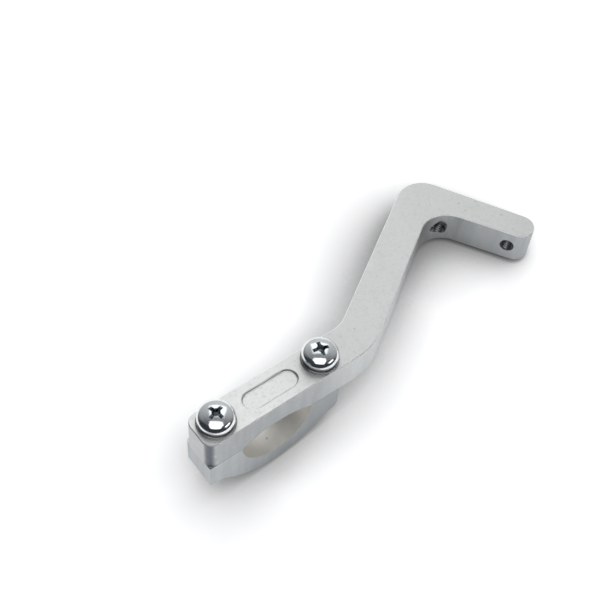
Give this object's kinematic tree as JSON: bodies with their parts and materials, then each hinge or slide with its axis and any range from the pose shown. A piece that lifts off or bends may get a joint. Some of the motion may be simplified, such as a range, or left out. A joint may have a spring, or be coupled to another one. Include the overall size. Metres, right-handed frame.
{
  "type": "handlebar clamp bracket arm",
  "caption": "Cranked aluminium bracket arm with a bolted handlebar clamp cap at one end and a short return hook with tapped holes at the other.",
  "frame": {"origin": "centre of the handlebar clamp, on the split between the arm and the clamp cap, at mid width", "axes": "+X runs along the clamp bar towards the crank and the hook, +Y is along the handlebar axis on the side the arm cranks to, +Z points out of the arm's top face along the clamp screws"},
  "size_m": [0.1201, 0.0394, 0.0309],
  "materials": {
    "arm_aluminium": "satin, fine bead-blasted",
    "cap_aluminium": "satin, lightly machined",
    "screw_chrome": "bright plated",
    "washer_steel": "zinc plated",
    "flat_washer_steel": "zinc plated, pale"
  },
  "bodies": {
    "arm": {"arm_bracket": "arm_aluminium", "outer_flat_washer": "flat_washer_steel", "inner_flat_washer": "flat_washer_steel"},
    "outer_screw": {"outer_clamp_screw": "screw_chrome", "outer_spring_washer": "washer_steel"},
    "inner_screw": {"inner_clamp_screw": "screw_chrome", "inner_spring_washer": "washer_steel"},
    "cap": {"clamp_cap": "cap_aluminium"}
  },
  "joints": [
    {"name": "cap_travel", "type": "slide", "parent": "arm", "child": "cap", "axis": [0, 0, -1], "range_m": [0, 0.0084]},
    {"name": "outer_screw_turn", "type": "hinge", "parent": "arm", "child": "outer_screw", "pos_m": [-0.01547, 0, 0.01], "axis": [0, 0, 1], "range_deg": [0, 3781]},
    {"name": "inner_screw_turn", "type": "hinge", "parent": "arm", "child": "inner_screw", "pos_m": [0.01703, 0, 0.01], "axis": [0, 0, 1], "range_deg": [0, 3781]}
  ],
  "couplings": [
    {"joint": "outer_screw_turn", "follows": "cap_travel", "rad_per_m": 7854},
    {"joint": "inner_screw_turn", "follows": "cap_travel", "rad_per_m": 7854}
  ]
}
